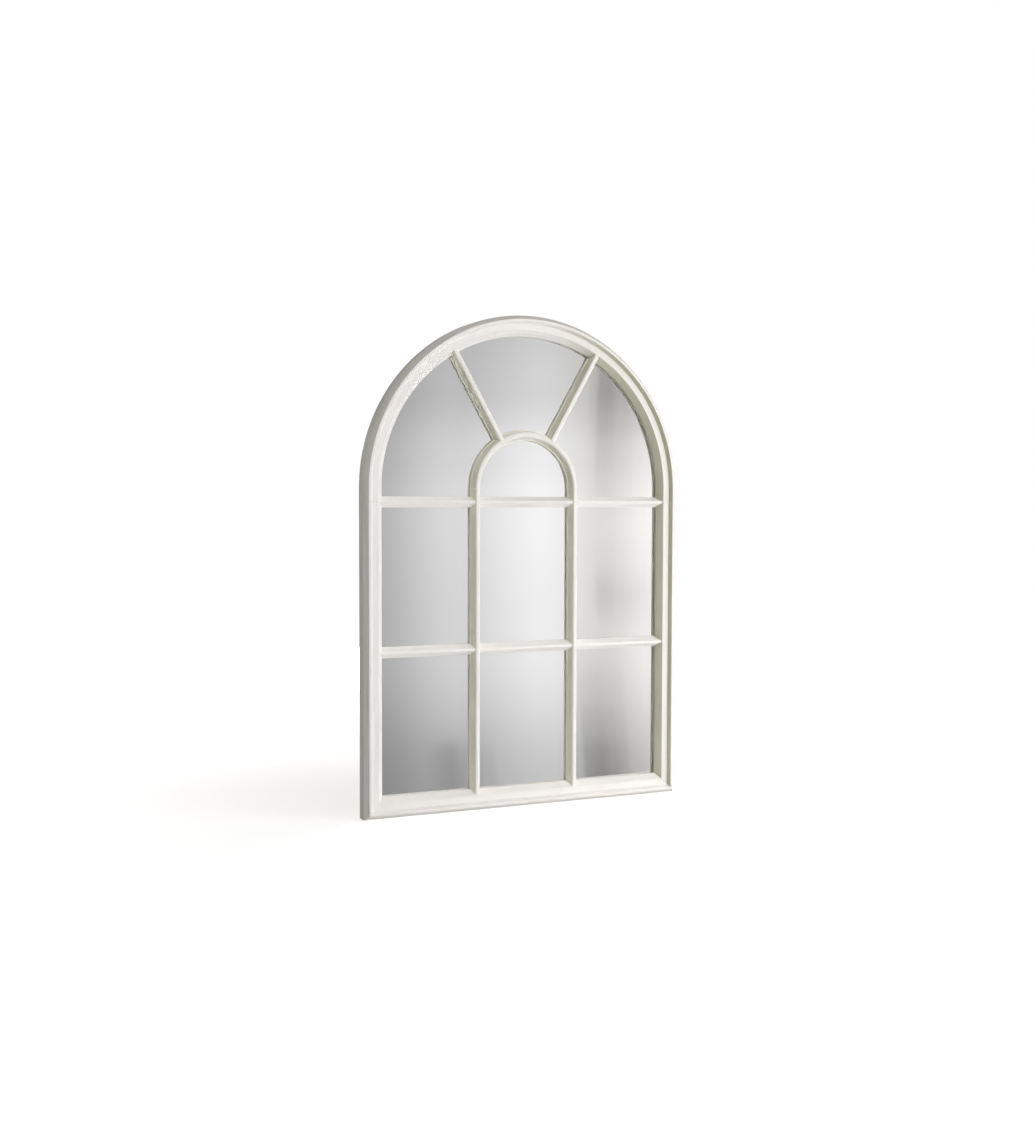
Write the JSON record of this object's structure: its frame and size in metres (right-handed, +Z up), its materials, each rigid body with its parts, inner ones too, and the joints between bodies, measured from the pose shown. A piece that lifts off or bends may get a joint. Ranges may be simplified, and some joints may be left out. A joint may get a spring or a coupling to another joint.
{
  "type": "wall mirror",
  "caption": "Arched window wall mirror: painted wooden frame with a half-round head, glazing bars with a fan over one sheet of mirror glass, and hanging rings on the back.",
  "frame": {"origin": "middle of the frame's bottom edge, in the plane of the frame's back", "axes": "+X to the right of a person who looks into the mirror, +Y into the wall, +Z up"},
  "size_m": [0.7, 0.042, 1],
  "materials": {
    "painted_frame": "off-white paint, brushed on, satin",
    "painted_bar": "off-white paint, brushed on, satin",
    "silvered_glass": "silvered float glass",
    "backing_board": "brown hardboard",
    "dowel": "plain beech",
    "screw": "zinc plated",
    "hanger_steel": "zinc plated",
    "bumper_rubber": "matt black rubber"
  },
  "bodies": {
    "mirror": {"bottom_rail": "painted_frame", "left_stile": "painted_frame", "right_stile": "painted_frame", "arch_left": "painted_frame", "arch_right": "painted_frame", "left_upright_bar": "painted_bar", "right_upright_bar": "painted_bar", "fan_arch_bar": "painted_bar", "left_ray_bar": "painted_bar", "right_ray_bar": "painted_bar", "upper_cross_bar_left": "painted_bar", "upper_cross_bar_centre": "painted_bar", "upper_cross_bar_right": "painted_bar", "lower_cross_bar_left": "painted_bar", "lower_cross_bar_centre": "painted_bar", "lower_cross_bar_right": "painted_bar", "mirror_glass": "silvered_glass", "backing_board": "backing_board", "corner_dowels": "dowel", "head_dowels": "dowel", "crown_dowels": "dowel", "backing_screws": "screw", "hanger_screws": "screw", "hanger_strap_left": "hanger_steel", "hanger_strap_right": "hanger_steel", "wall_bumpers": "bumper_rubber"},
    "left_ring": {"hanger_ring_left": "hanger_steel"},
    "right_ring": {"hanger_ring_right": "hanger_steel"}
  },
  "joints": [
    {"name": "left_ring_swing", "type": "hinge", "parent": "mirror", "child": "left_ring", "pos_m": [-0.337, 0.0028, 0.594], "axis": [1, 0, 0], "range_deg": [0, 180]},
    {"name": "right_ring_swing", "type": "hinge", "parent": "mirror", "child": "right_ring", "pos_m": [0.337, 0.0028, 0.594], "axis": [1, 0, 0], "range_deg": [0, 180]}
  ]
}
